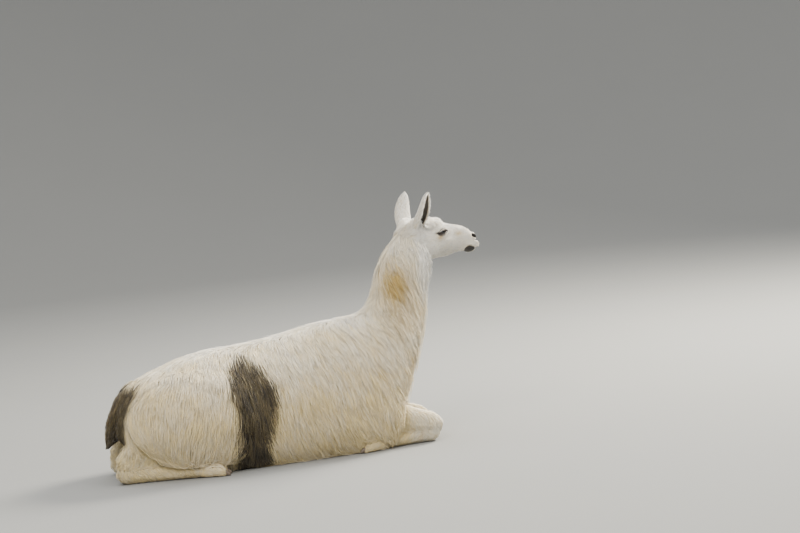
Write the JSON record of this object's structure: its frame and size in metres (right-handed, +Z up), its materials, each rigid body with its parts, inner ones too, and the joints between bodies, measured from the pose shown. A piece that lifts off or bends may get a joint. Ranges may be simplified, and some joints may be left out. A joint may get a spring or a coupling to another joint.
{
  "type": "llama",
  "caption": "Adult llama lying down with its legs folded under it, neck upright and ears raised, in a long white fleece with dark brown patches; a still model that rests flat on a floor.",
  "frame": {"origin": "on the floor under the belly, at the middle of the footprint", "axes": "+X forwards, from the tail to the nose; +Y to the animal's left; +Z up"},
  "size_m": [1.5875, 0.5685, 0.9919],
  "materials": {
    "fleece": "matte, long white fleece",
    "short_coat": "matte, short white hair",
    "tail_fleece": "matte, long dark brown fleece",
    "eye": "wet gloss",
    "nail": "dull horn"
  },
  "bodies": {
    "root": {"torso": "fleece", "neck": "fleece", "head": "short_coat", "tail": "tail_fleece", "ear_left": "short_coat", "eye_left": "eye", "hind_leg_left": "short_coat", "hind_foot_left": "short_coat", "hind_nail_left_outer": "nail", "hind_nail_left_inner": "nail", "fore_leg_left": "short_coat", "fore_foot_left": "short_coat", "fore_nail_left_outer": "nail", "fore_nail_left_inner": "nail", "ear_right": "short_coat", "eye_right": "eye", "hind_leg_right": "short_coat", "hind_foot_right": "short_coat", "hind_nail_right_outer": "nail", "hind_nail_right_inner": "nail", "fore_leg_right": "short_coat", "fore_foot_right": "short_coat", "fore_nail_right_outer": "nail", "fore_nail_right_inner": "nail"}
  },
  "joints": []
}
